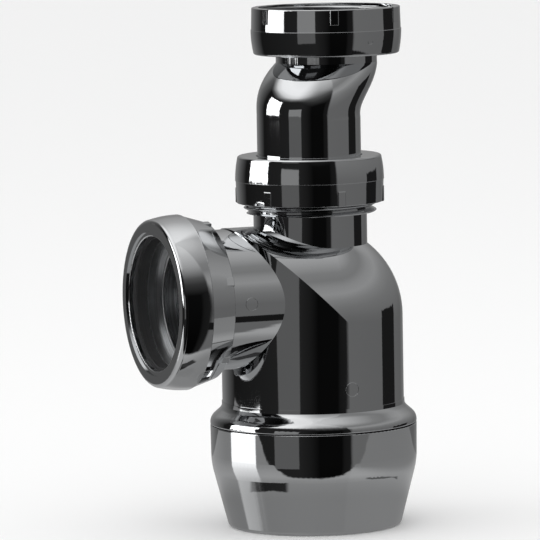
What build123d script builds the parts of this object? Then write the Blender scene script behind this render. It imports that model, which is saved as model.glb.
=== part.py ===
from build123d import *
import os
from math import cos, radians, sin

# Bottle trap. Lengths are in millimetres and angles in degrees. The part stands on the flat
# base of its cup: the origin is the centre of that base, +Z is up, the outlet points along -X.

# Body: a drum that stands on the cup, with its shoulder on top
body_radius = 28.7
body_wall = 2.2
drum_height = 34.1

# Screw joint between the body and the cup
cup_height = 32.35
cup_wall = 2.25
cup_thread_depth = 1.2
spigot_step = 0.2
spigot_length = 10.5
cup_seal_thickness = 2.0

# Skirt of the body that meets the rim of the cup
skirt_rim = 0.4
skirt_sweep = 6.8

# Cup below its thread
cup_draft = 0.15
cup_taper = 5.2
cup_bend_round = 24.0
cup_base_round = 1.5
cup_floor = 2.6
cup_ledge_width = 3.0
cup_lower_wall = 2.3
cup_inner_round = 3.0
rim_round = 0.3

# Neck, and the dip tube that goes on from it inside the body
neck_wall = 1.3
neck_plain_length = 3.85
neck_thread_step = 1.575
neck_thread_depth = 1.48
neck_thread_length = 13.05
neck_chamfer = 0.3
neck_countersink = 3.4
neck_countersink_wall = 0.7
sump_depth = 9.4

# Outlet socket, for a plain pipe
outlet_rise = 6.4
outlet_reach = 49.3
outlet_wall = 1.6
outlet_bore_radius = 17.6
outlet_stop_round = 0.3
outlet_thread_depth = 1.3
outlet_countersink = 1.7
outlet_countersink_wall = 0.5
outlet_seal_proud = 1.8
pipe_radius = 20.0
pipe_depth = 5.8

# Inlet tube: a lower leg, an offset knee and an upper leg with a collar
inlet_lower_radius = 16.35
inlet_upper_radius = 16.0
inlet_wall = 1.5
inlet_insertion = 32.3
inlet_leg = 18.7
inlet_offset = 10.4
inlet_turn = 32.0
knee_height = 14.9
knee_near_power = 1.94
knee_far_power = 1.6
knee_sections = 7
knee_to_nut = 2.65
collar_thickness = 2.0

# Nuts
neck_nut_rise = 3.2
small_nut_height = 14.8
small_nut_parting = 7.1
small_nut_mouth_wall = 1.85
small_nut_parting_wall = 2.2
small_nut_crown_wall = 1.5
inlet_nut_extra_wall = 0.35
small_nut_crown_round = 0.8
small_nut_lug = 0.3
outlet_nut_height = 17.9
outlet_nut_parting = 8.4
outlet_nut_mouth_wall = 1.15
outlet_nut_parting_wall = 3.85
outlet_nut_crown_wall = 2.8
outlet_nut_crown_round = 1.4
outlet_nut_lug = 0.75
nut_thread_relief = 0.45
nut_flange = 2.0
nut_parting_step = 0.15
nut_edge_round = 0.3
nut_recess_depth = 0.5
nut_recess_width = 1.5
lug_count = 6
lug_width = 2.7
lug_height = 4.8
lug_round = 0.25
neck_lug_turn = 32.0
inlet_lug_turn = 47.0
outlet_lug_turn = 18.7

# Rings and washer
ring_thickness = 1.0
washer_thickness = 2.0

# Clearances
rim_gap = 0.25
thread_clearance = 0.3
seal_clearance = 0.3
seal_running_clearance = 0.05
slip_clearance = 0.25
ring_clearance = 0.35
collar_clearance = 0.6
pipe_clearance = 0.4
pipe_hole_clearance = 1.1

# Radii that follow
body_bore_radius = body_radius - body_wall
spigot_radius = body_radius + spigot_step
cup_thread_root = spigot_radius + cup_thread_depth + thread_clearance
skirt_radius = cup_thread_root + cup_wall
cup_taper_radius = skirt_radius - cup_draft
cup_base_radius = cup_taper_radius - cup_taper
neck_bore_radius = inlet_lower_radius + slip_clearance
neck_radius = neck_bore_radius + neck_wall
neck_thread_root = neck_radius + neck_thread_step
neck_nut_root = neck_thread_root + neck_thread_depth + thread_clearance
nut_hole_radius = inlet_lower_radius + ring_clearance
collar_radius = neck_nut_root - collar_clearance
pipe_bore_radius = pipe_radius + pipe_clearance
outlet_radius = pipe_bore_radius + outlet_wall
outlet_nut_root = outlet_radius + outlet_thread_depth + thread_clearance
outlet_nut_hole_radius = pipe_radius + pipe_hole_clearance

# Heights that follow, from the base upwards
skirt_bottom = cup_height + rim_gap
skirt_top = skirt_bottom + skirt_rim + skirt_sweep
spigot_bottom = skirt_bottom - spigot_length
cup_ledge_height = spigot_bottom - cup_seal_thickness
shoulder_height = skirt_bottom + drum_height
outlet_height = shoulder_height + outlet_rise
dip_tube_bottom = cup_floor + sump_depth
neck_thread_bottom = shoulder_height + body_radius + neck_plain_length
neck_top = neck_thread_bottom + neck_thread_length
neck_nut_bottom = neck_thread_bottom + neck_nut_rise
neck_ring_top = neck_nut_bottom + small_nut_height - nut_flange
neck_ring_bottom = neck_ring_top - ring_thickness
inlet_bottom = neck_top - inlet_insertion
knee_bottom = neck_top + inlet_leg
knee_top = knee_bottom + knee_height
inlet_nut_bottom = knee_top + knee_to_nut
collar_bottom = inlet_nut_bottom + nut_flange
collar_top = collar_bottom + collar_thickness

# Distances along the outlet that follow, from the body's axis outwards
pipe_stop = outlet_reach - pipe_depth
outlet_ring_back = outlet_reach + outlet_seal_proud
outlet_ring_front = outlet_ring_back + ring_thickness
outlet_nut_front = outlet_ring_front + nut_flange
outlet_nut_mouth = outlet_nut_front - outlet_nut_height

# Thread lengths of the nuts, each up to the ring or washer that it presses
neck_nut_thread = neck_top - neck_nut_bottom
inlet_nut_thread = small_nut_height - nut_flange - collar_thickness - washer_thickness
outlet_nut_thread = outlet_reach - outlet_nut_mouth

# Places: the outlet's frame has its +Z along -X, out of the socket
inlet_x = inlet_offset * cos(radians(inlet_turn))
inlet_y = inlet_offset * sin(radians(inlet_turn))
outlet_frame = Plane(origin=(0, 0, outlet_height), x_dir=(0, 1, 0), z_dir=(-1, 0, 0)).location
inlet_frame = Location((inlet_x, inlet_y, 0))
on_base = (Align.CENTER, Align.CENTER, Align.MIN)


def turned(outline):
    """Solid of revolution about +Z; the outline is drawn as (radius, height)."""
    return revolve(Plane.XZ * make_face(outline), Axis.Z)


def circles_at(solid, radius, height):
    """Round edges of a solid of revolution with this radius at this height."""
    circles = solid.edges().filter_by(GeomType.CIRCLE)
    return circles.filter_by(lambda edge: abs(edge.radius - radius) + abs(edge.center().Z - height) < 1e-3)


def ring(inner, outer, bottom, top):
    """Plain ring between two radii and two heights."""
    return turned(Polyline((inner, bottom), (outer, bottom), (outer, top), (inner, top), close=True))


def bar(radius, bottom, top):
    """Upright cylinder between two heights."""
    return Pos(0, 0, bottom) * Cylinder(radius, top - bottom, align=on_base)


def drum(radius, foot):
    """Drum whose top is half a dome away from the outlet and half a vault towards it."""
    crown = shoulder_height + radius
    arch = make_face(
        Polyline((-radius, shoulder_height), (-radius, foot), (radius, foot), (radius, shoulder_height))
        + ThreePointArc((radius, shoulder_height), (0, crown), (-radius, shoulder_height))
    )
    vault = extrude(Plane.YZ * arch, -radius) & bar(radius, foot, crown)
    quarter = make_face(
        Polyline((0, crown), (0, foot), (radius, foot), (radius, shoulder_height))
        + RadiusArc((radius, shoulder_height), (0, crown), -radius)
    )
    dome = Rot(0, 0, -90) * revolve(Plane.XZ * quarter, Axis.Z, 180)
    return vault + dome


def skirt():
    """Flared skirt: it leaves the drum along its side and ends in a short upright rim."""
    rim_top = skirt_bottom + skirt_rim
    sweep = Spline((body_radius, skirt_top), (skirt_radius, rim_top), tangents=[(0, -1), (0, -1)])
    inner = body_radius - body_wall / 2
    edge = Polyline((skirt_radius, rim_top), (skirt_radius, skirt_bottom), (inner, skirt_bottom),
                    (inner, skirt_top), (body_radius, skirt_top))
    solid = turned(sweep + edge)
    return fillet(circles_at(solid, skirt_radius, skirt_bottom), rim_round)


def neck():
    """Outside of the neck: plain below, stepped out to the thread above, countersunk for its seal."""
    return turned(Polyline(
        (0, shoulder_height),
        (neck_radius, shoulder_height),
        (neck_radius, neck_thread_bottom - neck_chamfer),
        (neck_thread_root, neck_thread_bottom),
        (neck_thread_root, neck_top),
        (0, neck_top),
        close=True,
    ))


def neck_mouth():
    """Cone cut into the top of the neck, where the seal is wedged."""
    rim = neck_thread_root - neck_countersink_wall
    return turned(Polyline(
        (0, neck_top - neck_countersink),
        (neck_bore_radius, neck_top - neck_countersink),
        (rim, neck_top),
        (0, neck_top),
        close=True,
    ))


def outlet_hollow():
    """Way through the outlet: the countersink, the pipe's socket down to its stop, and the bore."""
    inside = body_bore_radius ** 2 - outlet_bore_radius ** 2
    inner_end = (neck_radius + inside ** 0.5) / 2
    hollow = turned(Polyline(
        (0, inner_end),
        (outlet_bore_radius, inner_end),
        (outlet_bore_radius, pipe_stop),
        (pipe_bore_radius, pipe_stop),
        (pipe_bore_radius, outlet_reach - outlet_countersink),
        (outlet_radius - outlet_countersink_wall, outlet_reach),
        (0, outlet_reach),
        close=True,
    ))
    return fillet(circles_at(hollow, outlet_bore_radius, pipe_stop), outlet_stop_round)


def trap_body():
    """One moulding: drum, shoulder, skirt, threaded spigot, neck with its dip tube, and outlet."""
    outside = drum(body_radius, skirt_bottom) + skirt() + bar(spigot_radius, spigot_bottom, skirt_top)
    outside += neck() + outlet_frame * bar(outlet_radius, 0, outlet_reach)
    shell = outside - drum(body_bore_radius, spigot_bottom)
    shell += bar(neck_radius, dip_tube_bottom, shoulder_height + body_radius)
    shell -= bar(neck_bore_radius, dip_tube_bottom, neck_top)
    return shell - neck_mouth() - outlet_frame * outlet_hollow()


def cup():
    """Cup: threaded inside its upright rim, a ledge for the seal, and a tapered sump."""
    ledge_radius = cup_thread_root - cup_ledge_width
    inner_base_radius = cup_base_radius - cup_lower_wall
    solid = turned(Polyline(
        (0, 0),
        (cup_base_radius, 0),
        (cup_taper_radius, cup_ledge_height),
        (skirt_radius, cup_height),
        (cup_thread_root, cup_height),
        (cup_thread_root, cup_ledge_height),
        (ledge_radius, cup_ledge_height),
        (inner_base_radius, cup_floor),
        (0, cup_floor),
        close=True,
    ))
    for radius, height, rounding in (
        (cup_taper_radius, cup_ledge_height, cup_bend_round),
        (cup_base_radius, 0, cup_base_round),
        (skirt_radius, cup_height, rim_round),
        (inner_base_radius, cup_floor, cup_inner_round),
    ):
        solid = fillet(circles_at(solid, radius, height), rounding)
    return solid


def cup_seal():
    """Flat rubber ring between the cup's ledge and the end of the body's spigot."""
    outer = cup_thread_root - seal_clearance
    return ring(body_bore_radius + seal_clearance, outer, cup_ledge_height, spigot_bottom)


def nut(height, parting, thread_length, thread_root, walls, crown_round, lug, hole_radius, recess, turn):
    """Union nut with its mouth at height 0 and its flange on top, and lugs round its mouth half.

    The walls are those outside the thread at the mouth, the parting line and the crown."""
    mouth_radius, parting_radius, crown_radius = [thread_root + wall for wall in walls]
    crown_bottom = height - crown_round
    face_radius = crown_radius - crown_round
    inside_top = height - nut_flange
    relief_radius = thread_root + nut_thread_relief
    recess_radius = hole_radius + nut_recess_width
    outside = (
        Polyline((thread_root, 0), (mouth_radius, 0),
                 (parting_radius - nut_parting_step, parting), (parting_radius, parting))
        + TangentArc((parting_radius, parting), (crown_radius, crown_bottom), tangent=(0, 1))
        + RadiusArc((crown_radius, crown_bottom), (face_radius, height), -crown_round)
    )
    face = [(face_radius, height)]
    if recess:
        face += [(recess_radius, height), (recess_radius, height - recess)]
    face += [(hole_radius, height - recess), (hole_radius, inside_top)]
    inside = Polyline(*face, (relief_radius, inside_top), (relief_radius, thread_length),
                      (thread_root, thread_length), (thread_root, 0))
    shell = turned(outside + inside)
    shell = fillet(circles_at(shell, mouth_radius, 0), nut_edge_round)
    shell = fillet(circles_at(shell, hole_radius, height - recess), nut_edge_round)
    for place in PolarLocations(0, lug_count, start_angle=turn):
        shell += place * nut_lug((thread_root + mouth_radius) / 2, mouth_radius + lug)
    return shell


def nut_lug(inner, outer):
    """Low lug on a nut's mouth half, for a strap wrench, with its outer edges rounded."""
    block = Pos((inner + outer) / 2, 0, 0) * Box(outer - inner, lug_width, lug_height, align=on_base)
    return fillet(block.faces().sort_by(Axis.X)[-1].edges(), lug_round)


def small_nut(thread_length, extra_wall, turn):
    """Nut of the neck or of the inlet: one pattern with its own thread length and place of the lugs."""
    walls = (small_nut_mouth_wall, small_nut_parting_wall, small_nut_crown_wall)
    return nut(small_nut_height, small_nut_parting, thread_length, neck_nut_root,
               [wall + extra_wall for wall in walls],
               small_nut_crown_round, small_nut_lug, nut_hole_radius, 0, turn)


def neck_nut():
    """Nut that presses the neck's seal on to the inlet tube; its mouth is down."""
    return Pos(0, 0, neck_nut_bottom) * small_nut(neck_nut_thread, 0, neck_lug_turn)


def inlet_nut():
    """Nut that joins the trap to a waste; its mouth is up and its flange holds the tube's collar."""
    upside_down = inlet_frame * Pos(0, 0, inlet_nut_bottom + small_nut_height) * Rot(180, 0, 0)
    return upside_down * small_nut(inlet_nut_thread, inlet_nut_extra_wall, inlet_lug_turn)


def outlet_nut():
    """Nut that presses the outlet's seal on to the waste pipe; its mouth is towards the body."""
    walls = (outlet_nut_mouth_wall, outlet_nut_parting_wall, outlet_nut_crown_wall)
    shape = nut(outlet_nut_height, outlet_nut_parting, outlet_nut_thread, outlet_nut_root, walls,
                outlet_nut_crown_round, outlet_nut_lug, outlet_nut_hole_radius, nut_recess_depth,
                outlet_lug_turn)
    return outlet_frame * Pos(0, 0, outlet_nut_mouth) * shape


def neck_thrust_ring():
    """Hard ring that lets the neck's nut turn without dragging the seal."""
    outer = neck_nut_root - ring_clearance
    return ring(nut_hole_radius, outer, neck_ring_bottom, neck_ring_top)


def neck_seal():
    """Rubber wedge between the inlet tube, the neck's countersink and the thrust ring."""
    inner = inlet_lower_radius + seal_running_clearance
    rim = neck_thread_root - neck_countersink_wall - seal_clearance
    root = neck_top - neck_countersink * (rim - inner) / (rim + seal_clearance - neck_bore_radius)
    return turned(Polyline(
        (inner, root + seal_clearance),
        (inner + seal_clearance, root + seal_clearance),
        (rim, neck_top),
        (rim, neck_ring_bottom),
        (inner, neck_ring_bottom),
        close=True,
    ))


def outlet_thrust_ring():
    """Hard ring between the outlet's nut and its seal."""
    outer = outlet_nut_root - ring_clearance
    return outlet_frame * ring(outlet_nut_hole_radius, outer, outlet_ring_back, outlet_ring_front)


def outlet_seal():
    """Rubber ring, wedged between the waste pipe and the countersink of the outlet's mouth."""
    rim = outlet_radius - outlet_countersink_wall
    return outlet_frame * turned(Polyline(
        (pipe_bore_radius, outlet_reach - outlet_countersink),
        (rim, outlet_reach),
        (rim, outlet_ring_back),
        (pipe_bore_radius, outlet_ring_back),
        close=True,
    ))


def knee(thinning):
    """Offset part of the inlet tube: round sections between a far side, which swings over in an S,
    and a near side, which stays upright and then turns over at the top."""
    step_height = knee_height / knee_sections
    narrowing = inlet_lower_radius - inlet_upper_radius
    sections = [Pos(0, 0, knee_bottom - step_height) * Circle(inlet_lower_radius - thinning)]
    for step in range(knee_sections + 1):
        t = step / knee_sections
        near = (inlet_offset + narrowing) * t ** knee_near_power
        far = (inlet_offset - narrowing) * t ** knee_far_power * (2 - t)
        drift = (near + far) / 2 / inlet_offset
        radius = inlet_lower_radius + (far - near) / 2
        place = Pos(inlet_x * drift, inlet_y * drift, knee_bottom + step_height * step)
        sections.append(place * Circle(radius - thinning))
    return loft(sections)


def inlet_way(thinning):
    """Outside of the inlet tube, or its bore when it is thinned by the wall."""
    knee_start = knee_bottom - knee_height / knee_sections
    lower = bar(inlet_lower_radius - thinning, inlet_bottom, knee_start)
    upper = inlet_frame * bar(inlet_upper_radius - thinning, knee_top, collar_top)
    return lower + knee(thinning) + upper


def inlet_tube():
    """Inlet tube: it slides and turns in the neck, and its collar carries the inlet's nut."""
    collar = inlet_frame * bar(collar_radius, collar_bottom, collar_top)
    return inlet_way(0) + collar - inlet_way(inlet_wall)


def inlet_washer():
    """Flat rubber washer that lies on the tube's collar, inside the inlet's nut."""
    inner = inlet_upper_radius - inlet_wall
    return inlet_frame * ring(inner, collar_radius, collar_top, collar_top + washer_thickness)


pieces = {
    "trap_body": trap_body,
    "cup": cup,
    "cup_seal": cup_seal,
    "neck_nut": neck_nut,
    "neck_thrust_ring": neck_thrust_ring,
    "neck_seal": neck_seal,
    "inlet_tube": inlet_tube,
    "inlet_nut": inlet_nut,
    "inlet_washer": inlet_washer,
    "outlet_nut": outlet_nut,
    "outlet_thrust_ring": outlet_thrust_ring,
    "outlet_seal": outlet_seal,
}

os.makedirs("parts", exist_ok=True)
for name, make in pieces.items():
    export_step(make(), "parts/" + name + ".step")
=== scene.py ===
import bmesh
import bpy
from math import cos, pi, radians, sin
from mathutils import Matrix, Vector


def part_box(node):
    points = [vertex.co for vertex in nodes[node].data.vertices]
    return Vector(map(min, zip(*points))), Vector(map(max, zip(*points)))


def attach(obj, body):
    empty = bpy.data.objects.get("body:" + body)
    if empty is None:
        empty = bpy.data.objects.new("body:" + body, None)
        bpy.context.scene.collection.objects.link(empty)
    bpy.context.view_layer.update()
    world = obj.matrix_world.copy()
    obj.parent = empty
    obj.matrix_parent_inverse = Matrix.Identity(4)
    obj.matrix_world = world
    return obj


# Chrome bottle trap: finishes, screw threads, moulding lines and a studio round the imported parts.
# Lengths are in metres, but those of threads and moulding lines, and the places read from the frame,
# are in millimetres. Angles are in degrees, and grey levels are linear.
MM = 0.001

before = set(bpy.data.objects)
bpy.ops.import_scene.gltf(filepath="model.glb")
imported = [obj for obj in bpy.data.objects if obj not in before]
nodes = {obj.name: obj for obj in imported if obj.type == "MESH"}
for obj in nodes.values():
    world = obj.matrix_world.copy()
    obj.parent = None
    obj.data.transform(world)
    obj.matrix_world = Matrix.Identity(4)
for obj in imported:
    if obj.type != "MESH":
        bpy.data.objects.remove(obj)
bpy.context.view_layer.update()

# Camera of the photograph: it stands a little above the trap and looks past the outlet
CAMERA_AZIMUTH = -22.96
CAMERA_ELEVATION = 5.90
CAMERA_ROLL = 0.975
CAMERA_DISTANCE = 1.5964
CAMERA_LENS = 337.4
CAMERA_SENSOR = 36.0
CAMERA_CLIPS = (0.1, 20.0)
AIM_SIDE = -12.94 * MM
AIM_HEIGHT = 80.94 * MM

# Places read from the frame, in millimetres
body_low, body_high = [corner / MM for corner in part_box("trap_body")]
neck_nut_low, neck_nut_high = [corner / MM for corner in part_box("neck_nut")]
inlet_nut_low, inlet_nut_high = [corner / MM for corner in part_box("inlet_nut")]
outlet_nut_low, outlet_nut_high = [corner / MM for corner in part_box("outlet_nut")]
cup_top = (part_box("cup")[1] / MM).z
inlet_x = (inlet_nut_low.x + inlet_nut_high.x) / 2
inlet_y = (inlet_nut_low.y + inlet_nut_high.y) / 2
outlet_height = (outlet_nut_low.z + outlet_nut_high.z) / 2

# Places whose local Z is the axis of the neck, of the inlet and of the outlet
upright = Matrix.Identity(4)
over_inlet = Matrix.Translation((inlet_x * MM, inlet_y * MM, 0))
along_outlet = Matrix.Translation((0, 0, outlet_height * MM)) @ Matrix.Rotation(-pi / 2, 4, "Y")


# Shader nodes
def node_tree(owner):
    """Empties the owner's node tree and returns it."""
    owner.use_nodes = True
    owner.node_tree.nodes.clear()
    return owner.node_tree


def add(tree, kind, inputs=None, **settings):
    """Adds a node with its properties in settings, and its sockets' values or links in inputs."""
    made = tree.nodes.new(kind)
    for key, value in settings.items():
        setattr(made, key, value)
    for key, value in (inputs or {}).items():
        socket = made.inputs[key]
        if isinstance(value, bpy.types.NodeSocket):
            tree.links.new(value, socket)
        else:
            socket.default_value = value
    return made


def math_node(tree, operation, first, second=0.0):
    """Result of a sum, product or other operation on two values."""
    return add(tree, "ShaderNodeMath", {0: first, 1: second}, operation=operation).outputs[0]


def ramp(tree, factor, stops):
    """Colour ramp; each stop is a place from 0 to 1 and a grey level."""
    made = add(tree, "ShaderNodeValToRGB", {"Fac": factor})
    elements = made.color_ramp.elements
    while len(elements) < len(stops):
        elements.new(1.0)
    for element, (place, level) in zip(elements, stops):
        element.position = place
        element.color = (level, level, level, 1)
    return made.outputs["Color"]


def remap(tree, value, source, target):
    """Turns the range source of a value into the range target, in a straight line."""
    made = add(tree, "ShaderNodeMapRange", {"Value": value, "From Min": source[0], "From Max": source[1],
                                            "To Min": target[0], "To Max": target[1]})
    return made.outputs["Result"]


def span(tree, value, start, end):
    """0 before start, 1 after end and smooth between."""
    made = add(tree, "ShaderNodeMapRange", {"Value": value, "From Min": start, "From Max": end},
               interpolation_type="SMOOTHSTEP")
    return made.outputs["Result"]


def within(tree, value, start, end, edge):
    """1 between start and end, 0 outside, with a soft edge."""
    return math_node(tree, "MULTIPLY", span(tree, value, start - edge, start + edge),
                     span(tree, value, end + edge, end - edge))


def mix(tree, factor, first, second):
    """Colour between two others, each a link or a tuple of red, green and blue."""
    made = add(tree, "ShaderNodeMix", data_type="RGBA")
    for socket, value in ((made.inputs[0], factor), (made.inputs[6], first), (made.inputs[7], second)):
        if isinstance(value, bpy.types.NodeSocket):
            tree.links.new(value, socket)
        else:
            socket.default_value = (*value, 1)
    return made.outputs[2]


def grey(level):
    """Colour of a grey level."""
    return (level, level, level)


def noise(tree, vector, scale, detail):
    """Noise from 0 to 1; scale is how many of its features go into a metre."""
    made = add(tree, "ShaderNodeTexNoise", {"Vector": vector, "Scale": scale, "Detail": detail})
    return made.outputs["Fac"]


def bump(tree, height, distance, normal=None, strength=1.0):
    """Normal of a bump that is distance high, over another normal if there is one."""
    inputs = {"Height": height, "Distance": distance, "Strength": strength}
    if normal is not None:
        inputs["Normal"] = normal
    return add(tree, "ShaderNodeBump", inputs).outputs["Normal"]


def studio_parts(tree, vector):
    """Parts of a vector to the right, away and up in the studio, which is turned to the photograph's
    azimuth once and for all."""
    turned = add(tree, "ShaderNodeVectorRotate", {"Vector": vector, "Angle": radians(-CAMERA_AZIMUTH)},
                 rotation_type="Z_AXIS").outputs["Vector"]
    return add(tree, "ShaderNodeSeparateXYZ", {"Vector": turned}).outputs


def studio_azimuth(tree, right, away):
    """Degrees round the trap from the studio's front, positive to its right."""
    angle = math_node(tree, "ARCTAN2", right, math_node(tree, "MULTIPLY", away, -1.0))
    return math_node(tree, "MULTIPLY", angle, 180 / pi)


# Studio: what the polished surfaces mirror. Walls are pairs of an azimuth and a level, and skies pairs
# of an elevation and a level. A card has its left and right azimuth, its lowest and highest elevation,
# its level and how ragged its edges are. CARD_RAGS is the scale and the detail of their noise.
WALLS = (
    (-180, 0.3), (-150, 0.2), (-138, 0.13), (-124, 0.05), (-118, 0.012), (-46, 0.02), (-16, 0.022),
    (-4, 0.014), (8, 0.002), (30, 0.002), (34, 0.012), (41, 0.015), (44, 0.18), (97, 0.17), (127, 0.17),
    (130, 0.14), (150, 0.15), (180, 0.3),
)
SKY_LEFT = (
    (-90, 0.0), (33, 0.0), (37, 0.12), (41, 0.5), (44, 0.95), (50, 1.3), (60, 1.35), (76, 1.2), (90, 1.1),
)
SKY_MIDDLE = (
    (-90, 0.0), (14, 0.005), (28, 0.05), (36, 0.12), (52, 0.48), (68, 0.72), (76, 0.87), (90, 0.97),
)
SKY_RIGHT = (
    (-90, 0.0), (-8, 0.16), (12, 0.24), (20, 0.3), (28, 0.4), (36, 0.36), (44, 0.27), (52, 0.3),
    (60, 0.42), (68, 0.55), (76, 0.72), (90, 0.9),
)
SKY_BACK = (
    (-90, 0.0), (-4, 0.14), (12, 0.26), (28, 0.42), (36, 0.48), (44, 0.56), (52, 0.72), (60, 0.9),
    (68, 1.05), (76, 1.13), (90, 1.2),
)
MIDDLE_FROM = (-45, 15)
RIGHT_FROM = (40, 44)
BACK_FROM = (128, 160)
CARDS = {
    "softbox": (-107, -69, -2.8, 31, 3.2, 2.6),
    "panel": (-45, -17, -14, 11, 0.14, 0.5),
    "window": (-45, -17, -3.5, 11, 0.3, 0.5),
    "flag": (99, 127, -36, 1, 0.014, 1.5),
    "table_side": (41, 75, -30, -21, 0.012, 0.8),
}
CARD_EDGE = 0.6
CARD_RAGS = (26.0, 3.0)
BACKGROUND_LEVEL = 1.0
ROOM_LEVEL = 1.12


def walls_and_skies(tree, azimuth, elevation):
    """Colour of the walls, or of the sky over them where that is brighter."""
    across = math_node(tree, "DIVIDE", math_node(tree, "ADD", azimuth, 180.0), 360.0)
    upwards = math_node(tree, "DIVIDE", math_node(tree, "ADD", elevation, 90.0), 180.0)
    walls = ramp(tree, across, [((a + 180) / 360, level) for a, level in WALLS])
    left, middle, right, back = [
        ramp(tree, upwards, [((e + 90) / 180, level) for e, level in stops])
        for stops in (SKY_LEFT, SKY_MIDDLE, SKY_RIGHT, SKY_BACK)
    ]
    sky = mix(tree, span(tree, azimuth, *MIDDLE_FROM), left, middle)
    sky = mix(tree, span(tree, azimuth, *RIGHT_FROM), sky, right)
    sky = mix(tree, span(tree, math_node(tree, "ABSOLUTE", azimuth), *BACK_FROM), sky, back)
    return add(tree, "ShaderNodeVectorMath", {0: walls, 1: sky}, operation="MAXIMUM").outputs["Vector"]


def with_cards(tree, seen, ray, azimuth, elevation):
    """Colour seen with the cards in front of it."""
    rags = math_node(tree, "SUBTRACT", noise(tree, ray, *CARD_RAGS), 0.5)
    for left, right, low, high, level, ragged in CARDS.values():
        shift = math_node(tree, "MULTIPLY", rags, 2 * ragged)
        inside = math_node(tree, "MULTIPLY",
                           within(tree, math_node(tree, "ADD", azimuth, shift), left, right, CARD_EDGE),
                           within(tree, math_node(tree, "ADD", elevation, shift), low, high, CARD_EDGE))
        seen = mix(tree, inside, seen, grey(level))
    return seen


def studio_world():
    """Studio that gloss mirrors; the background is white, and dull surfaces are lit evenly."""
    world = bpy.data.worlds.new("studio")
    bpy.context.scene.world = world
    tree = node_tree(world)
    ray = add(tree, "ShaderNodeTexCoord").outputs["Generated"]
    right, away, up = studio_parts(tree, ray)
    azimuth = studio_azimuth(tree, right, away)
    elevation = math_node(tree, "MULTIPLY", math_node(tree, "ARCSINE", up), 180 / pi)
    seen = with_cards(tree, walls_and_skies(tree, azimuth, elevation), ray, azimuth, elevation)
    light_path = add(tree, "ShaderNodeLightPath")
    shown = mix(tree, light_path.outputs["Is Diffuse Ray"], seen, grey(ROOM_LEVEL))
    shown = mix(tree, light_path.outputs["Is Camera Ray"], shown, grey(BACKGROUND_LEVEL))
    background = add(tree, "ShaderNodeBackground", {"Color": shown})
    add(tree, "ShaderNodeOutputWorld", {"Surface": background.outputs[0]})


# Floor, and the table that gloss mirrors in its place, which glows: how far it reaches from the trap on each
# side, its levels, how far from the trap its painted shade reaches, and where it turns bright towards the
# left
FLOOR_SIZE = 12.0
FLOOR_LEVEL = 0.86
FLOOR_ROUGHNESS = 0.55
FLOOR_SPECULAR = 0.3
TABLE_FRONT = 0.066
TABLE_FRONT_CURVE = 0.05
TABLE_FRONT_SIDES = (0.02, 0.12)
TABLE_RAGGED = 0.009
RAG_SIZE = 0.014
RAG_DETAIL = 3.0
TABLE_LEFT = 0.31
TABLE_RIGHT = 0.24
TABLE_BACK = 0.14
TABLE_EDGE = 0.003
TABLE_SHADED = 0.29
TABLE_BRIGHT = 0.5
SHADE_REACH = (0.045, 0.075)
BRIGHT_TO = (0.1, 0.05)
TABLE_GLOSS = 1.5
TABLE_BLUR = 0.09

# Painted shade on the table, in dark arcs that the chrome mirrors: the azimuths between which each lies, its
# inner and outer radius and its level
TABLE_SHADE_ARCS = ((-62, -24, 0.0505, 0.0575, 0.02), (48, 90, 0.0595, 0.0625, 0.1))
SHADE_ARC_SOFT = 0.0004
SHADE_ARC_ENDS = 2.5
SHADE_ARC_RAGGED = 0.3


def past_table(tree, right, away, rags):
    """1 past the table's edges and 0 on it; its front edge curves towards the trap and is ragged."""
    sideways = span(tree, math_node(tree, "ABSOLUTE", right), *TABLE_FRONT_SIDES)
    front = math_node(tree, "ADD", math_node(tree, "MULTIPLY", sideways, TABLE_FRONT_CURVE), rags)
    past = span(tree, math_node(tree, "ADD", away, front),
                -TABLE_FRONT + TABLE_EDGE, -TABLE_FRONT - TABLE_EDGE)
    for value, start, end in (
        (right, -TABLE_LEFT + TABLE_EDGE, -TABLE_LEFT - TABLE_EDGE),
        (right, TABLE_RIGHT, TABLE_RIGHT + TABLE_EDGE),
        (away, TABLE_BACK, TABLE_BACK + TABLE_EDGE),
    ):
        past = math_node(tree, "MAXIMUM", past, span(tree, value, start, end))
    return past


def table_tone(tree, place, right, away, rags):
    """Grey the table glows with: painted shade near the trap and to the right, and painted shade in dark
    arcs.
    """
    reach = add(tree, "ShaderNodeVectorMath", {0: place}, operation="LENGTH").outputs["Value"]
    # Painted shade: the table's glow is darker near the trap and towards the right
    lit = math_node(tree, "MULTIPLY", span(tree, reach, *SHADE_REACH), span(tree, right, *BRIGHT_TO))
    tone = mix(tree, lit, grey(TABLE_SHADED), grey(TABLE_BRIGHT))
    azimuth = studio_azimuth(tree, right, away)
    ragged_reach = math_node(tree, "ADD", reach, math_node(tree, "MULTIPLY", rags, SHADE_ARC_RAGGED))
    # Painted shade: dark arcs on the glowing table, which the chrome mirrors as dark crescents
    for start, end, inner, outer, level in TABLE_SHADE_ARCS:
        inside = math_node(tree, "MULTIPLY", within(tree, azimuth, start, end, SHADE_ARC_ENDS),
                           within(tree, ragged_reach, inner, outer, SHADE_ARC_SOFT))
        tone = mix(tree, inside, tone, grey(level))
    return tone


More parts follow.
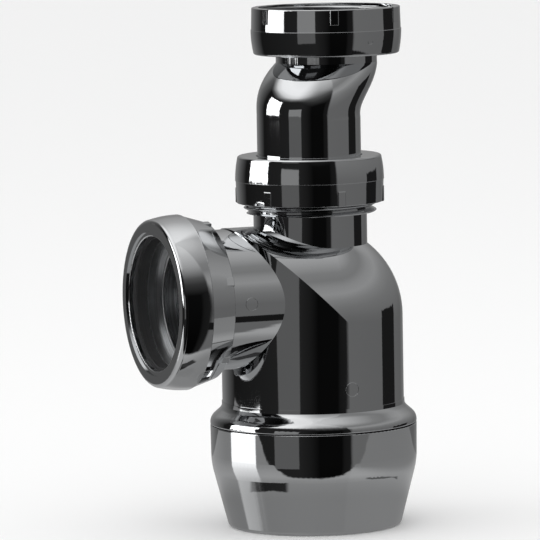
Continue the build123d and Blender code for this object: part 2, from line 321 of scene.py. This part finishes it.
def floor_material():
    """Pale floor; the polished surfaces see it only as a glossy table that ends near the trap."""
    mat = bpy.data.materials.new("pale_floor")
    tree = node_tree(mat)
    place = add(tree, "ShaderNodeNewGeometry").outputs["Position"]
    right, away, _ = studio_parts(tree, place)
    rags = math_node(tree, "SUBTRACT", noise(tree, place, 1 / RAG_SIZE, RAG_DETAIL), 0.5)
    rags = math_node(tree, "MULTIPLY", rags, TABLE_RAGGED)
    pale = add(tree, "ShaderNodeBsdfPrincipled", {"Base Color": (*grey(FLOOR_LEVEL), 1),
                                                  "Roughness": FLOOR_ROUGHNESS,
                                                  "Specular IOR Level": FLOOR_SPECULAR})
    # The table that gloss mirrors glows with its grey instead of being lit, so its shade is painted shade
    dull = add(tree, "ShaderNodeEmission", {"Color": table_tone(tree, place, right, away, rags)})
    mirror = add(tree, "ShaderNodeBsdfGlossy", {"Color": (1, 1, 1, 1), "Roughness": TABLE_BLUR})
    fresnel = add(tree, "ShaderNodeFresnel", {"IOR": TABLE_GLOSS}).outputs[0]
    table = add(tree, "ShaderNodeMixShader", {0: fresnel, 1: dull.outputs[0], 2: mirror.outputs[0]})
    glossy = add(tree, "ShaderNodeLightPath").outputs["Is Glossy Ray"]
    seen = add(tree, "ShaderNodeMixShader", {0: glossy, 1: pale.outputs[0], 2: table.outputs[0]})
    open_here = math_node(tree, "MULTIPLY", past_table(tree, right, away, rags), glossy)
    clear = add(tree, "ShaderNodeBsdfTransparent")
    both = add(tree, "ShaderNodeMixShader", {0: open_here, 1: seen.outputs[0], 2: clear.outputs[0]})
    add(tree, "ShaderNodeOutputMaterial", {"Surface": both.outputs[0]})
    return mat


def studio_floor():
    """Plain floor under the trap."""
    mesh = bpy.data.meshes.new("floor")
    half = FLOOR_SIZE / 2
    corners = [(-half, -half, 0), (half, -half, 0), (half, half, 0), (-half, half, 0)]
    mesh.from_pydata(corners, [], [(0, 1, 2, 3)])
    mesh.materials.append(floor_material())
    floor = bpy.data.objects.new("floor", mesh)
    bpy.context.scene.collection.objects.link(floor)


# Overhead light
LIGHT_SIZE = 1.2
LIGHT_WATTS = 3
LIGHT_PLACE = (-0.25, -0.35, 1.3)
LIGHT_AIM = (0, 0, 0.05)


def studio_light():
    """One soft overhead light, which the polished surfaces don't mirror, for the shadow on the floor."""
    light = bpy.data.lights.new("overhead", "AREA")
    light.shape = "DISK"
    light.size = LIGHT_SIZE
    light.energy = LIGHT_WATTS
    lamp = bpy.data.objects.new("overhead", light)
    lamp.location = LIGHT_PLACE
    lamp.rotation_euler = (Vector(LIGHT_AIM) - lamp.location).to_track_quat("-Z", "Y").to_euler()
    lamp.visible_glossy = False
    bpy.context.scene.collection.objects.link(lamp)


def photo_camera():
    """Camera at the photograph's angle; the picture is 540 by 540."""
    azimuth, elevation, roll = radians(CAMERA_AZIMUTH), radians(CAMERA_ELEVATION), radians(CAMERA_ROLL)
    back = Vector((sin(azimuth) * cos(elevation), -cos(azimuth) * cos(elevation), sin(elevation)))
    right = Vector((cos(azimuth), sin(azimuth), 0))
    up = back.cross(right)
    across = right * cos(roll) - up * sin(roll)
    upward = right * sin(roll) + up * cos(roll)
    camera = bpy.data.cameras.new("photo_camera")
    camera.lens = CAMERA_LENS
    camera.sensor_width = CAMERA_SENSOR
    camera.clip_start, camera.clip_end = CAMERA_CLIPS
    holder = bpy.data.objects.new("photo_camera", camera)
    eye = right * AIM_SIDE + Vector((0, 0, AIM_HEIGHT)) + back * CAMERA_DISTANCE
    holder.matrix_world = Matrix.Translation(eye) @ Matrix((across, upward, back)).transposed().to_4x4()
    bpy.context.scene.collection.objects.link(holder)
    bpy.context.scene.camera = holder


# Lines round which finishes have rings, each an axis from 0 to 2 and a point in metres
neck_line = (2, (0, 0, 0))
inlet_line = (2, (inlet_x * MM, inlet_y * MM, 0))
outlet_line = (0, (0, 0, outlet_height * MM))

# Bores, each a line, a radius and the two places on the line between which the plate turns dull
outlet_bore = (outlet_line, 21.2 * MM, (-20 * MM, -24 * MM))
inlet_bore = (inlet_line, 14.7 * MM, (140 * MM, 144 * MM))
BORE_EDGE = 0.0002
BORE_ROUGHNESS = (0.24, 0.42)
BORE_GROOVES = 0.00002
STREAK_TONE = (0.1, 0.1, 0.1)
STREAK_SHARE = 0.45

# Rings: their size, and between which levels of their noise roughness, streaks and ribs rise
RING_SIZE = 0.0011
RING_DETAIL = 3.0
RING_RANGE = (0.3, 0.7)
STREAK_RANGE = (0.42, 0.62)
RIB_RANGE = (0.4, 0.62)

# Chrome: pairs of a noise's scale and detail, and heights and sizes in metres
RIPPLE_HEIGHT = 0.00002
WIDE_RIPPLE = 0.03
CLOSE_RIPPLE = 0.02
RIPPLE_DETAIL = 2.0
PEEL_SIZE = 0.0016
PEEL_DETAIL = 1.0
PEEL_SHARE = 0.06
SPECKS = (1400.0, 2.0)
SPECK_HEIGHT = 0.0000012
HAZE_CLOUDS = (90.0, 4.0)
HAZE_RANGE = (0.3, 0.75)
HAZE_LEAST = 0.4
HAZE = 0.06
FAINT_HAZE = 0.05
CHROME_TONES = ((0.60, 0.61, 0.62), (0.66, 0.665, 0.67))
TONE_SHARE = 0.5

# Dark finishes: clouds are a noise's scale and detail, between whose two tones and roughnesses they go
RUBBER = {
    "clouds": (70.0, 3.0), "tones": ((0.012, 0.012, 0.013), (0.03, 0.03, 0.031)),
    "roughness": (0.45, 0.7), "rib_tone": (0.036, 0.036, 0.037), "rib_height": 0.000012,
    "grain_height": 0.00008,
}
PLASTIC = {
    "clouds": (160.0, 4.0), "tones": ((0.03, 0.03, 0.032), (0.055, 0.055, 0.057)),
    "roughness": (0.3, 0.5), "rib_tone": (0.085, 0.085, 0.087), "rib_height": 0.00003,
    "grain_height": 0,
}
RIB_SHARE = 0.6
GRAIN = (900.0, 5.0)
GRAIN_STRENGTH = 0.6


def new_material(name):
    """New material, its empty node tree and the place on the object that its patterns follow."""
    mat = bpy.data.materials.new(name)
    tree = node_tree(mat)
    return mat, tree, add(tree, "ShaderNodeTexCoord").outputs["Object"]


def end_material(tree, tone, rough, normal, metallic=0.0):
    """Ends a material's nodes in its surface."""
    skin = add(tree, "ShaderNodeBsdfPrincipled",
               {"Base Color": tone, "Metallic": metallic, "Roughness": rough, "Normal": normal})
    add(tree, "ShaderNodeOutputMaterial", {"Surface": skin.outputs[0]})


def round_line(tree, place, line):
    """Distance from a line, and the place along it."""
    axis, centre = line
    offset = add(tree, "ShaderNodeVectorMath", {0: place, 1: centre}, operation="SUBTRACT").outputs["Vector"]
    across = [1.0, 1.0, 1.0]
    across[axis] = 0.0
    flat = add(tree, "ShaderNodeVectorMath", {0: offset, 1: across}, operation="MULTIPLY").outputs["Vector"]
    distance = add(tree, "ShaderNodeVectorMath", {0: flat}, operation="LENGTH").outputs["Value"]
    return distance, add(tree, "ShaderNodeSeparateXYZ", {"Vector": place}).outputs[axis]


def ring_noise(tree, place, line):
    """Noise in rings round a line, as flow and tool marks run in a bore."""
    distance, along = round_line(tree, place, line)
    rings = add(tree, "ShaderNodeCombineXYZ", {"X": distance, "Y": along}).outputs["Vector"]
    return noise(tree, rings, 1 / RING_SIZE, RING_DETAIL)


def bore_mask(tree, place, bore):
    """1 inside a bore and 0 outside."""
    line, radius, ends = bore
    distance, along = round_line(tree, place, line)
    return math_node(tree, "MULTIPLY", span(tree, distance, radius + BORE_EDGE, radius - BORE_EDGE),
                     span(tree, along, *ends))


def dulled(tree, place, bore, rough, tone, normal):
    """Roughness, tone and normal of plate that is dull and marked with rings inside a bore."""
    mask = bore_mask(tree, place, bore)
    rings = ring_noise(tree, place, bore[0])
    dull = remap(tree, rings, RING_RANGE, BORE_ROUGHNESS)
    rough = add(tree, "ShaderNodeMix", {0: mask, 2: rough, 3: dull}, data_type="FLOAT").outputs[0]
    streaks = math_node(tree, "MULTIPLY", mask, span(tree, rings, *STREAK_RANGE))
    tone = mix(tree, math_node(tree, "MULTIPLY", streaks, STREAK_SHARE), tone, STREAK_TONE)
    return rough, tone, bump(tree, math_node(tree, "MULTIPLY", mask, rings), BORE_GROOVES, normal)


def chrome(name, ripple_size, haze, bore=None):
    """Chrome plate on moulded plastic: slow ripples of the moulding, faint haze and fine specks."""
    mat, tree, place = new_material(name)
    cloud = noise(tree, place, *HAZE_CLOUDS)
    rough = remap(tree, cloud, HAZE_RANGE, (haze * HAZE_LEAST, haze))
    tone = mix(tree, math_node(tree, "MULTIPLY", cloud, TONE_SHARE), *CHROME_TONES)
    normal = bump(tree, noise(tree, place, 1 / ripple_size, RIPPLE_DETAIL), RIPPLE_HEIGHT)
    if bore:
        rough, tone, normal = dulled(tree, place, bore, rough, tone, normal)
    normal = bump(tree, noise(tree, place, 1 / PEEL_SIZE, PEEL_DETAIL), RIPPLE_HEIGHT * PEEL_SHARE, normal)
    normal = bump(tree, noise(tree, place, *SPECKS), SPECK_HEIGHT, normal)
    end_material(tree, tone, rough, normal, metallic=1.0)
    return mat


def dark_finish(name, look, line):
    """Rubber or hard plastic, moulded or turned in rings round a line; rubber also has a fine grain."""
    mat, tree, place = new_material(name)
    ribs = span(tree, ring_noise(tree, place, line), *RIB_RANGE)
    cloud = noise(tree, place, *look["clouds"])
    tone = mix(tree, cloud, *look["tones"])
    tone = mix(tree, math_node(tree, "MULTIPLY", ribs, RIB_SHARE), tone, look["rib_tone"])
    rough = remap(tree, cloud, (0, 1), look["roughness"])
    normal = bump(tree, ribs, look["rib_height"])
    if look["grain_height"]:
        normal = bump(tree, noise(tree, place, *GRAIN), look["grain_height"], normal, GRAIN_STRENGTH)
    end_material(tree, tone, rough, normal)
    return mat


# Screw threads: pitch and a ridge's width at the wall and at the crest, and then the radius of each
# wall that a ridge stands on and of its crest
CUP_FORM = (3.0, 1.6, 0.5)
SPIGOT_WALL = (28.9, 30.1)
CUP_WALL = (30.4, 29.2)
NECK_FORM = (2.309, 1.85, 0.31)
NECK_WALL = (19.475, 20.955)
SMALL_NUT_WALL = (21.255, 19.8)
OUTLET_FORM = (3.0, 1.9, 0.5)
OUTLET_WALL = (22.0, 23.3)
OUTLET_NUT_WALL = (23.6, 22.35)
THREAD_MARGIN = 0.8
SPIGOT_LENGTH = 10.5
CUP_THREAD_DEPTH = 9.8
NECK_THREAD_LENGTH = 13.05
NECK_THREAD_TURN = -107.6
SMALL_NUT_THREAD = 8.6
OUTLET_THREAD_LENGTH = 12.4

# How a ridge is made: how far it is sunk in its wall, its steps, the share of its flank that is rounded
# off at the crest, the distance in metres under which corners are joined, and the angle of a sharp edge
THREAD_SINK = 0.05
STEPS_PER_TURN = 96
RIDGE_STEPS = 14
CREST_ROUND = 0.25
WELD = 1e-7
SHARP_ANGLE = 35


def make_piece(name, body, plate, shape, place=upright, sharp_angle=None):
    """Piece from a bmesh, moved to its place; plate is its finish and its slot, and the slot is not used."""
    finish, slot = plate
    bmesh.ops.recalc_face_normals(shape, faces=shape.faces)
    mesh = bpy.data.meshes.new(name)
    shape.to_mesh(mesh)
    shape.free()
    mesh.transform(place)
    mesh.materials.append(finish)
    mesh.shade_smooth()
    if sharp_angle:
        mesh.set_sharp_from_angle(angle=radians(sharp_angle))
    piece = bpy.data.objects.new(name, mesh)
    bpy.context.scene.collection.objects.link(piece)
    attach(piece, body)


def ridge_depth(offset, base, tip):
    """Share of the full depth at an offset from the middle of a ridge, with rounded corners at the crest."""
    share = (base / 2 - abs(offset)) / ((base - tip) / 2)
    if share > 1 + CREST_ROUND:
        return 1.0
    if share > 1 - CREST_ROUND:
        return 1 - (1 + CREST_ROUND - share) ** 2 / (4 * CREST_ROUND)
    return max(share, 0.0)


def ridge_section(centre, wall, form, ends):
    """Corners (radius, height) of a ridge's section, which is cut off flat at the thread's two ends."""
    root, crest = wall
    pitch, base, tip = form
    low, high = ends
    bottom = min(max(centre - base / 2, low), high)
    top = min(max(centre + base / 2, low), high)
    sunk = root - THREAD_SINK if crest > root else root + THREAD_SINK
    corners = [(sunk, bottom)]
    for step in range(RIDGE_STEPS + 1):
        height = bottom + (top - bottom) * step / RIDGE_STEPS
        corners.append((root + (crest - root) * ridge_depth(height - centre, base, tip), height))
    return corners + [(sunk, top)]


def ridge_rows(shape, wall, form, ends, start):
    """Corners of a ridge's section at every step along its helix."""
    pitch, base, tip = form
    low, high = ends
    first = -round(base / 2 / pitch * STEPS_PER_TURN)
    last = round((high - low + base / 2) / pitch * STEPS_PER_TURN)
    rows = []
    for step in range(first, last + 1):
        turn = radians(start) + 2 * pi * step / STEPS_PER_TURN
        corners = ridge_section(low + pitch * step / STEPS_PER_TURN, wall, form, ends)
        rows.append([shape.verts.new((r * cos(turn) * MM, r * sin(turn) * MM, z * MM)) for r, z in corners])
    return rows


def thread(name, body, plate, place, wall, form, ends, start):
    """Helical ridge on or in a cylinder round the local Z of place, between the two heights in ends.

    start is the angle at which the middle of the ridge is at the lower end."""
    shape = bmesh.new()
    rows = ridge_rows(shape, wall, form, ends, start)
    shape.faces.new(rows[0])
    shape.faces.new(rows[-1][::-1])
    for row, after in zip(rows, rows[1:]):
        for k in range(len(row)):
            shape.faces.new((row[k - 1], row[k], after[k], after[k - 1]))
    bmesh.ops.remove_doubles(shape, verts=shape.verts, dist=WELD)
    bmesh.ops.dissolve_degenerate(shape, edges=shape.edges, dist=WELD)
    make_piece(name, body, plate, shape, place, SHARP_ANGLE)


def facing(form, own_ends, other_ends, other_start):
    """Start angle of a ridge that lies half a pitch from the ridge that it meshes with."""
    return other_start + 180 + 360 * (own_ends[0] - other_ends[0]) / form[0]


def threads(body_plate, cup_plate, nut_plate):
    """Every screw thread; the ridges of a pair lie half a pitch apart, so they never meet."""
    male = (cup_top - SPIGOT_LENGTH + THREAD_MARGIN, cup_top)
    female = (cup_top - CUP_THREAD_DEPTH, cup_top - THREAD_MARGIN)
    thread("spigot_thread", "body", body_plate, upright, SPIGOT_WALL, CUP_FORM, male, 0)
    thread("cup_thread", "cup", cup_plate, upright, CUP_WALL, CUP_FORM, female,
           facing(CUP_FORM, female, male, 0))

    male = (body_high.z - NECK_THREAD_LENGTH, body_high.z - THREAD_MARGIN)
    female = (neck_nut_low.z + THREAD_MARGIN, body_high.z - THREAD_MARGIN)
    thread("neck_thread", "body", body_plate, upright, NECK_WALL, NECK_FORM, male, NECK_THREAD_TURN)
    thread("neck_nut_thread", "neck_nut", nut_plate, upright, SMALL_NUT_WALL, NECK_FORM, female,
           facing(NECK_FORM, female, male, NECK_THREAD_TURN))

    mouth = inlet_nut_high.z
    thread("inlet_nut_thread", "inlet_nut", nut_plate, over_inlet, SMALL_NUT_WALL, NECK_FORM,
           (mouth - SMALL_NUT_THREAD, mouth - THREAD_MARGIN), 0)

    reach = -body_low.x
    male = (reach - OUTLET_THREAD_LENGTH, reach - THREAD_MARGIN)
    female = (-outlet_nut_high.x + THREAD_MARGIN, reach - THREAD_MARGIN)
    thread("outlet_thread", "body", body_plate, along_outlet, OUTLET_WALL, OUTLET_FORM, male, 0)
    thread("outlet_nut_thread", "outlet_nut", nut_plate, along_outlet, OUTLET_NUT_WALL, OUTLET_FORM, female,
           facing(OUTLET_FORM, female, male, 0))


# Moulding lines and marks: thin round wires, half sunk in the plate. A mark has its bearing round the
# local Z of its place, its height and its radius.
PARTING_WIRE = 0.13
PARTING_SUNK = 0.105
PARTING_STEPS = 160
MARK_WIRE = 0.08
MARK_STEPS = 40
WIRE_SIDES = 8
SMALL_NUT_PARTING = 7.1
OUTLET_NUT_PARTING = 8.4
OUTLET_TUBE_RADIUS = 22.0
DRUM_RADIUS = 28.7
INLET_NUT_SUNK = 0.2
DRUM_MARK = (-88.1, 45.8, 2.2)
TUBE_MARK = (-88.6, 29.6, 2.0)
INLET_NUT_MARK = (-77.8, 153.1, 0.9)


def closed_wire(name, body, plate, loop, thickness):
    """Round wire along a closed loop of pairs of a point and its outward direction."""
    shape = bmesh.new()
    turns = [2 * pi * step / WIRE_SIDES for step in range(WIRE_SIDES)]
    rings = []
    for k, (point, out) in enumerate(loop):
        ahead = loop[(k + 1) % len(loop)][0] - loop[k - 1][0]
        side = ahead.cross(out).normalized()
        corners = [point + (out * cos(t) + side * sin(t)) * thickness * MM for t in turns]
        rings.append([shape.verts.new(corner) for corner in corners])
    for k, ring in enumerate(rings):
        before = rings[k - 1]
        for m in range(WIRE_SIDES):
            shape.faces.new((before[m - 1], before[m], ring[m], ring[m - 1]))
    make_piece(name, body, plate, shape)


def on_wall(place, radius, angle, height):
    """Point on a cylinder round the local Z of place, with its outward direction."""
    out = Vector((cos(angle), sin(angle), 0))
    return place @ (out * radius * MM + Vector((0, 0, height * MM))), place.to_3x3() @ out


def parting_line(name, body, plate, place, radius, height):
    """Line round a nut, where the two halves of its mould met."""
    turns = [2 * pi * step / PARTING_STEPS for step in range(PARTING_STEPS)]
    loop = [on_wall(place, radius - PARTING_SUNK, turn, height) for turn in turns]
    closed_wire(name, body, plate, loop, PARTING_WIRE)


def moulding_mark(name, body, plate, place, radius, mark):
    """Small circle on a cylinder, as a pin of the mould leaves."""
    bearing, height, size = mark
    turns = [2 * pi * step / MARK_STEPS for step in range(MARK_STEPS)]
    loop = [on_wall(place, radius, radians(bearing) + size * sin(t) / radius, height + size * cos(t))
            for t in turns]
    closed_wire(name, body, plate, loop, MARK_WIRE)


def moulding_lines(body_plate, nut_plate):
    """The nuts' parting lines, and the marks on the drum, the outlet's tube and the inlet's nut."""
    inlet_nut_radius = (inlet_nut_high.x - inlet_nut_low.x) / 2
    parting_line("neck_nut_parting", "neck_nut", nut_plate, upright,
                 (neck_nut_high.x - neck_nut_low.x) / 2, neck_nut_low.z + SMALL_NUT_PARTING)
    parting_line("inlet_nut_parting", "inlet_nut", nut_plate, over_inlet,
                 inlet_nut_radius, inlet_nut_high.z - SMALL_NUT_PARTING)
    parting_line("outlet_nut_parting", "outlet_nut", nut_plate, along_outlet,
                 (outlet_nut_high.y - outlet_nut_low.y) / 2, -outlet_nut_high.x + OUTLET_NUT_PARTING)
    moulding_mark("drum_mark", "body", body_plate, upright, DRUM_RADIUS, DRUM_MARK)
    moulding_mark("tube_mark", "body", body_plate, along_outlet, OUTLET_TUBE_RADIUS, TUBE_MARK)
    moulding_mark("inlet_nut_mark", "inlet_nut", nut_plate, over_inlet,
                  inlet_nut_radius - INLET_NUT_SUNK, INLET_NUT_MARK)


def dress(piece, finish):
    """Gives a node of the frame its one finish."""
    piece.data.materials.clear()
    piece.data.materials.append(finish)


def main():
    """Builds the studio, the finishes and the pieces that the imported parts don't have."""
    studio_world()
    studio_floor()
    studio_light()
    photo_camera()
    body_finish = chrome("chrome_body_finish", WIDE_RIPPLE, HAZE, outlet_bore)
    cup_finish = chrome("chrome_cup_finish", WIDE_RIPPLE, FAINT_HAZE)
    nut_finish = chrome("chrome_nut_finish", CLOSE_RIPPLE, HAZE)
    tube_finish = chrome("chrome_tube_finish", WIDE_RIPPLE, FAINT_HAZE, inlet_bore)
    seal_finish = dark_finish("black_rubber_finish", RUBBER, neck_line)
    washer_finish = dark_finish("washer_rubber_finish", RUBBER, inlet_line)
    outlet_seal_finish = dark_finish("outlet_rubber_finish", RUBBER, outlet_line)
    neck_ring_finish = dark_finish("neck_ring_finish", PLASTIC, neck_line)
    outlet_ring_finish = dark_finish("outlet_ring_finish", PLASTIC, outlet_line)
    for name, finish in (
        ("trap_body", body_finish), ("cup", cup_finish), ("neck_nut", nut_finish),
        ("inlet_nut", nut_finish), ("outlet_nut", nut_finish), ("inlet_tube", tube_finish),
        ("cup_seal", seal_finish), ("neck_seal", seal_finish), ("inlet_washer", washer_finish),
        ("outlet_seal", outlet_seal_finish), ("neck_thrust_ring", neck_ring_finish),
        ("outlet_thrust_ring", outlet_ring_finish),
    ):
        dress(nodes[name], finish)
    body_plate = (body_finish, "chrome_body")
    cup_plate = (cup_finish, "chrome_cup")
    nut_plate = (nut_finish, "chrome_nut")
    threads(body_plate, cup_plate, nut_plate)
    moulding_lines(body_plate, nut_plate)
    bpy.context.scene.view_settings.view_transform = "Standard"
    bpy.context.scene.view_settings.look = "None"


main()
